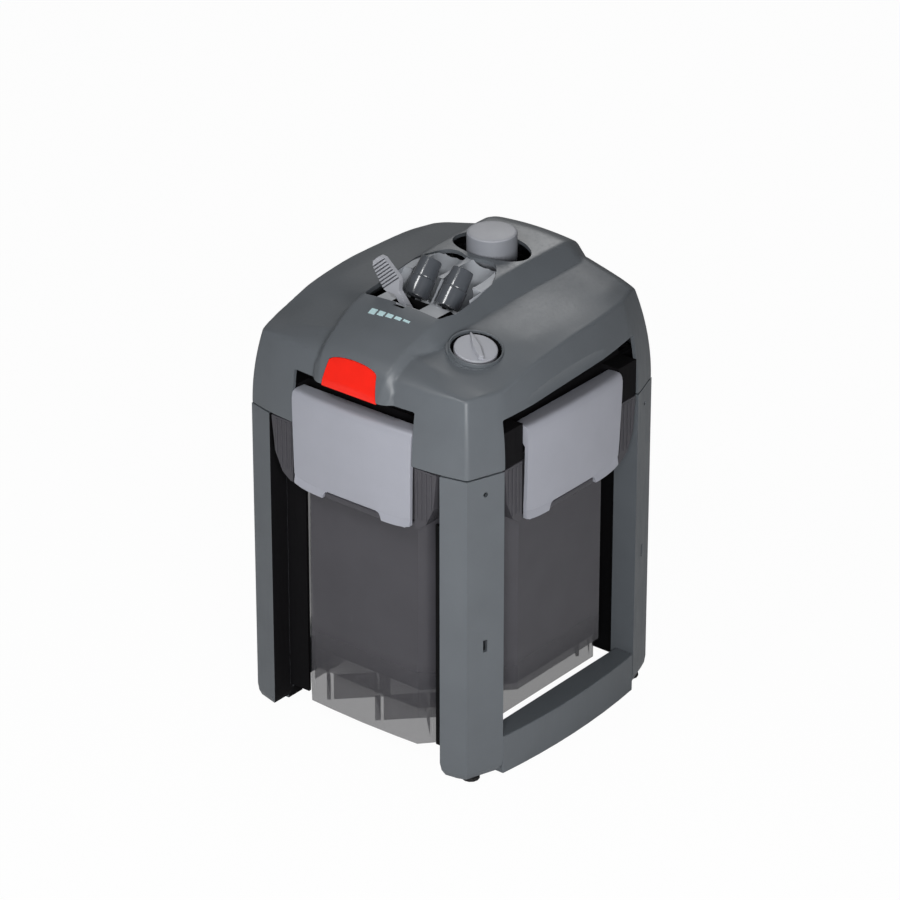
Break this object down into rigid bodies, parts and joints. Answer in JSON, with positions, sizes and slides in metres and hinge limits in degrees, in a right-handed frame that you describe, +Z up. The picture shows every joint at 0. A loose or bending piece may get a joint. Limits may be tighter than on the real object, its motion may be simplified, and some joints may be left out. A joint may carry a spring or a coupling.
{
  "type": "canister filter",
  "caption": "Square external aquarium filter: smoky canister in a post frame, pump head with closing clips, hose nozzles, flow lever, priming button and bypass knob.",
  "frame": {"origin": "on the floor at the centre of the footprint", "axes": "+Z up, the front with the red window faces -Y, the bypass knob is on the +X side"},
  "size_m": [0.239, 0.244, 0.3751],
  "materials": {
    "housing": "fine satin moulding, slate grey",
    "smoky": "smoky see-through, glossy",
    "silver": "silver-grey satin",
    "red": "red see-through, glossy",
    "light": "light grey, fine satin",
    "glossy": "glossy black",
    "black": "matt black",
    "rubber": "black rubber",
    "steel": "bright steel",
    "ceramic": "off-white, dull",
    "sponge": "open blue foam",
    "media": "loose porous rings and balls",
    "fleece": "white fleece"
  },
  "bodies": {
    "housing": {"head_cover": "housing", "head_base": "housing", "rail_left": "housing", "rail_right": "housing", "post_front_left": "housing", "post_front_right": "housing", "post_back_left": "housing", "post_back_right": "housing", "canister": "smoky", "status_window": "red", "clip_pin_front": "steel", "clip_pin_right": "steel", "clip_pin_back": "steel", "clip_pin_left": "steel", "lever_pin": "steel", "prime_spring": "steel", "cover_screw_front_left": "steel", "cover_screw_front_right": "steel", "cover_screw_back_left": "steel", "cover_screw_back_right": "steel", "hose_adapter": "light", "nozzle_left": "glossy", "nozzle_right": "glossy", "cord_gland": "black", "prime_sleeve": "black", "prime_well": "black", "motor_pot": "black", "impeller_cover": "black", "riser_tube": "black", "prefilter_tray": "black", "basket_lower": "black", "basket_upper": "black", "basket_grip_lower": "black", "basket_grip_upper": "black", "head_seal": "rubber", "adapter_seal_left": "rubber", "adapter_seal_right": "rubber", "shaft_bush_upper": "rubber", "shaft_bush_lower": "rubber", "foot_front_left": "rubber", "foot_front_right": "rubber", "foot_back_left": "rubber", "foot_back_right": "rubber", "impeller_shaft": "ceramic", "prefilter_sponge": "sponge", "media_lower": "media", "media_upper": "media", "fine_pad": "fleece"},
    "clip_front": {"clip_front": "silver"},
    "clip_right": {"clip_right": "silver"},
    "clip_back": {"clip_back": "silver"},
    "clip_left": {"clip_left": "silver"},
    "lever": {"flow_lever": "light"},
    "button": {"prime_button": "light"},
    "knob": {"bypass_knob": "light", "bypass_valve": "black"},
    "impeller": {"impeller": "ceramic"}
  },
  "joints": [
    {"name": "clip_front_hinge", "type": "hinge", "parent": "housing", "child": "clip_front", "pos_m": [0, -0.1075, 0.276], "axis": [-1, 0, 0], "range_deg": [0, 75]},
    {"name": "clip_right_hinge", "type": "hinge", "parent": "housing", "child": "clip_right", "pos_m": [0.106, 0, 0.276], "axis": [0, -1, 0], "range_deg": [0, 75]},
    {"name": "clip_back_hinge", "type": "hinge", "parent": "housing", "child": "clip_back", "pos_m": [0, 0.1075, 0.276], "axis": [1, 0, 0], "range_deg": [0, 75]},
    {"name": "clip_left_hinge", "type": "hinge", "parent": "housing", "child": "clip_left", "pos_m": [-0.106, 0, 0.276], "axis": [0, 1, 0], "range_deg": [0, 75]},
    {"name": "lever_hinge", "type": "hinge", "parent": "housing", "child": "lever", "pos_m": [0, -0.0465, 0.334], "axis": [0, 1, 0], "range_deg": [0, 65]},
    {"name": "button_slide", "type": "slide", "parent": "housing", "child": "button", "axis": [0, 0, -1], "range_m": [0, 0.014], "stiffness_N_per_m": 150, "springref_m": -0.02, "deforming": ["prime_spring"]},
    {"name": "knob_hinge", "type": "hinge", "parent": "housing", "child": "knob", "pos_m": [0.067, -0.056, 0.3329], "axis": [0.2302, -0.1064, 0.9673], "range_deg": [0, 90]},
    {"name": "impeller_spin", "type": "hinge", "parent": "housing", "child": "impeller", "pos_m": [-0.052, 0.022, 0.27], "axis": [0, 0, 1], "continuous": true}
  ]
}
